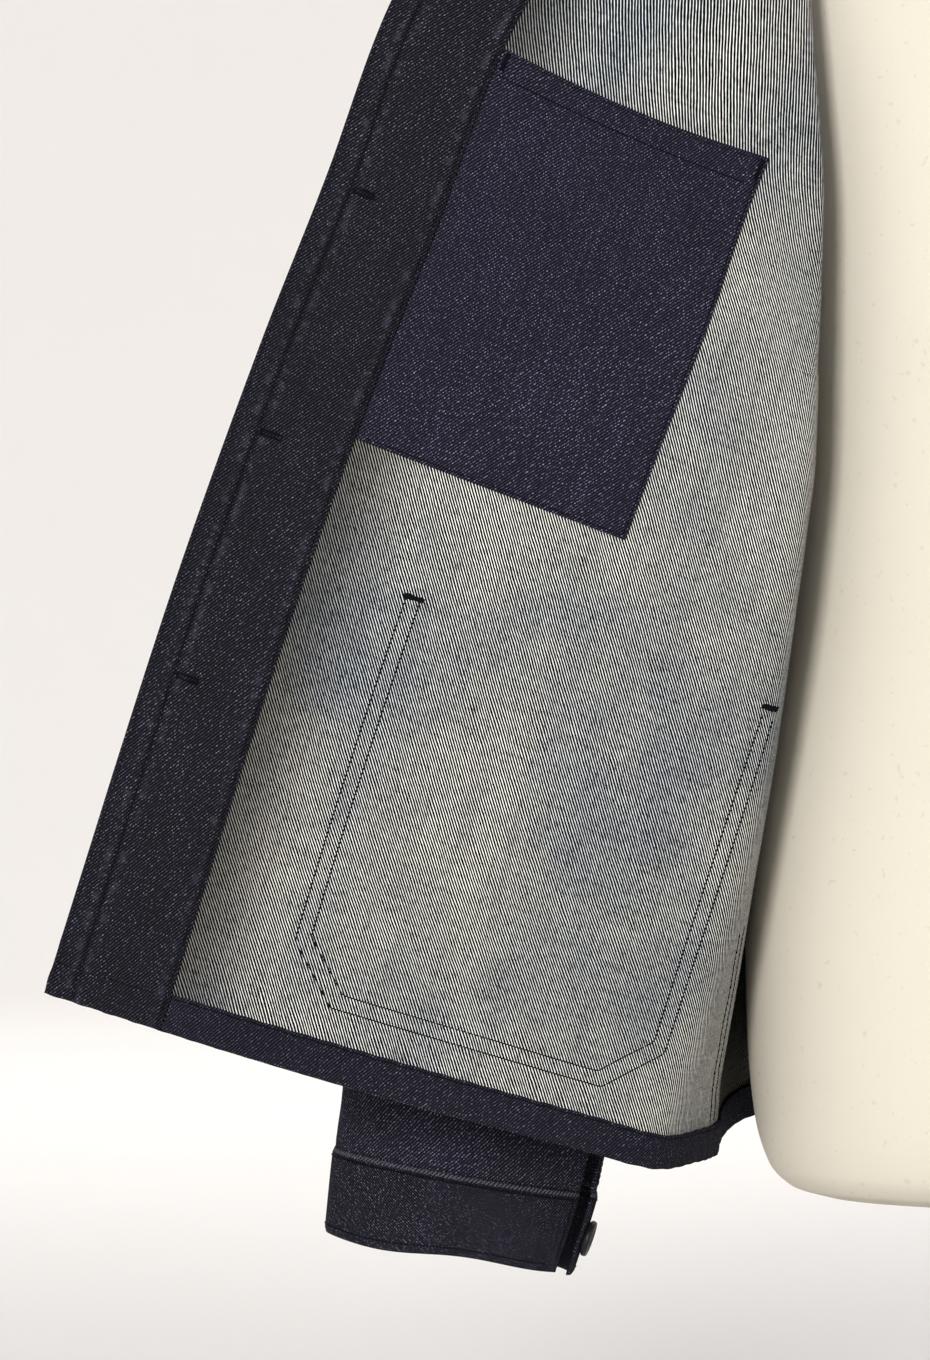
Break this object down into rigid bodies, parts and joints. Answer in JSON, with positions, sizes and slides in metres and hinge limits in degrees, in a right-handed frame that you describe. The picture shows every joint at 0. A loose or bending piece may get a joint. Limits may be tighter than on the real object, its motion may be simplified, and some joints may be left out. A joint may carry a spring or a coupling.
{
  "type": "chore jacket on dress form",
  "caption": "Cropped dark denim chore jacket on a limbless dress form with a round stand, its right front swung open to show the facing, inner patch pocket and turned-up hem.",
  "frame": {"origin": "centre of the stand base's underside", "axes": "-Z out of the base's underside, -Y the way the form and the picture's front face, -X the wearer's right, where the front is swung open"},
  "size_m": [0.8517, 0.3336, 0.8647],
  "materials": {
    "denim_face": "matt dark indigo twill, right side",
    "denim_reverse": "matt grey and white twill, wrong side",
    "button": "semi-gloss dark",
    "form_cover": "matt cream cover, smooth",
    "stand_metal": "satin pale paint"
  },
  "bodies": {
    "root": {"right_front": "denim_reverse", "left_front": "denim_face", "back": "denim_face", "right_facing": "denim_face", "right_front_hem": "denim_face", "back_hem": "denim_face", "left_front_hem": "denim_face", "inner_pocket": "denim_face", "right_hip_pocket": "denim_face", "left_hip_pocket": "denim_face", "right_sleeve": "denim_face", "right_cuff": "denim_face", "left_sleeve": "denim_face", "left_cuff": "denim_face", "collar": "denim_face", "front_button_1": "button", "front_button_2": "button", "front_button_3": "button", "front_button_4": "button", "right_cuff_button": "button", "left_cuff_button": "button", "form_torso": "form_cover", "form_neck_cap": "form_cover", "stand_pole": "stand_metal", "stand_base": "stand_metal"}
  },
  "joints": []
}
